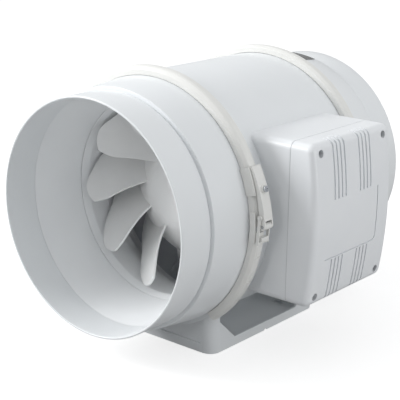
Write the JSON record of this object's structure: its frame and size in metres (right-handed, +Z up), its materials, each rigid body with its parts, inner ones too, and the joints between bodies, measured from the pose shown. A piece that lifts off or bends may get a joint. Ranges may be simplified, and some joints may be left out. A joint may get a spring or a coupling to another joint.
{
  "type": "inline duct fan",
  "caption": "Mixed-flow inline duct fan with round spigots, a latched removable motor section, a side wiring box and a slotted mounting bracket.",
  "frame": {"origin": "centre of the inlet rim, on the duct axis", "axes": "+Y along the duct in the direction of the air flow, +Z up away from the mounting bracket, +X towards the wiring box"},
  "size_m": [0.3298, 0.383, 0.2968],
  "materials": {
    "moulded_shell": "satin gloss moulded ABS, cool off-white",
    "moulded_impeller": "satin gloss moulded plastic, off-white",
    "moulded_vanes": "satin moulded plastic, light grey",
    "moulded_box": "satin gloss moulded ABS, cool off-white",
    "clamp_plastic": "satin moulded plastic, slightly warmer grey-white",
    "seal_rubber": "matt black elastomer",
    "gasket_tpe": "pale grey soft TPE",
    "bright_screw": "bright plated steel",
    "steel": "ground steel",
    "core_steel": "stacked electrical steel",
    "winding": "enamelled copper wire",
    "motor_metal": "die-cast aluminium",
    "capacitor_can": "drawn aluminium can",
    "terminal_plastic": "cream nylon",
    "terminal_brass": "nickel-plated brass",
    "gland_plastic": "dark grey nylon",
    "lead_sheath": "dark sheathed lead",
    "label_film": "blank black film"
  },
  "bodies": {
    "fan_body": {"inlet_spigot": "moulded_shell", "inlet_funnel": "moulded_shell", "front_seal": "gasket_tpe", "main_casing": "moulded_shell", "impeller_shroud": "moulded_shell", "rear_seal": "gasket_tpe", "outlet_spigot": "moulded_shell", "motor_stator": "core_steel", "motor_windings": "winding", "motor_housing": "motor_metal", "motor_end_cap": "motor_metal", "front_bearing": "steel", "rear_bearing": "steel", "motor_screws": "bright_screw", "diffuser_drum": "moulded_vanes", "guide_vanes": "moulded_vanes", "diffuser_ring": "moulded_vanes", "tail_cone": "moulded_vanes", "motor_lead": "lead_sheath", "lead_grommet": "seal_rubber", "terminal_box_base": "moulded_box", "terminal_box_cover": "moulded_box", "cover_gasket": "gasket_tpe", "cover_screws": "bright_screw", "box_base_screws": "bright_screw", "terminal_block": "terminal_plastic", "terminal_screws": "terminal_brass", "capacitor": "capacitor_can", "capacitor_clip": "motor_metal", "cable_gland": "gland_plastic", "gland_nut": "gland_plastic", "gland_seal": "seal_rubber", "mounting_bracket": "moulded_shell", "blank_label": "label_film", "front_clamp_band": "clamp_plastic", "front_clamp_tail": "clamp_plastic", "front_latch_base": "clamp_plastic", "front_latch_catch": "clamp_plastic", "front_latch_pin": "steel", "rear_clamp_band": "clamp_plastic", "rear_clamp_tail": "clamp_plastic", "rear_latch_base": "clamp_plastic", "rear_latch_catch": "clamp_plastic", "rear_latch_pin": "steel"},
    "rotor": {"impeller": "moulded_impeller", "impeller_blades": "moulded_impeller", "impeller_nose": "moulded_impeller", "impeller_nut": "bright_screw", "motor_shaft": "steel", "motor_rotor": "steel"},
    "front_lever": {"front_latch_lever": "clamp_plastic", "front_latch_screw": "bright_screw"},
    "front_link": {"front_latch_link": "clamp_plastic"},
    "rear_lever": {"rear_latch_lever": "clamp_plastic", "rear_latch_screw": "bright_screw"},
    "rear_link": {"rear_latch_link": "clamp_plastic"}
  },
  "joints": [
    {"name": "impeller_spin", "type": "hinge", "parent": "fan_body", "child": "rotor", "pos_m": [0, 0.2, 0], "axis": [0, 1, 0], "continuous": true},
    {"name": "front_latch", "type": "hinge", "parent": "fan_body", "child": "front_lever", "pos_m": [0.1473, 0.0972, 0.0025], "axis": [0, 1, 0], "range_deg": [0, 110]},
    {"name": "front_link_swing", "type": "hinge", "parent": "front_lever", "child": "front_link", "pos_m": [0.1451, 0.0972, 0.0115], "axis": [0, 1, 0], "range_deg": [-110, 0]},
    {"name": "rear_latch", "type": "hinge", "parent": "fan_body", "child": "rear_lever", "pos_m": [0.1473, 0.2858, 0.0025], "axis": [0, 1, 0], "range_deg": [0, 110]},
    {"name": "rear_link_swing", "type": "hinge", "parent": "rear_lever", "child": "rear_link", "pos_m": [0.1451, 0.2858, 0.0115], "axis": [0, 1, 0], "range_deg": [-110, 0]}
  ],
  "couplings": [
    {"joint": "front_link_swing", "follows": "front_latch", "ratio": -1},
    {"joint": "rear_link_swing", "follows": "rear_latch", "ratio": -1}
  ]
}
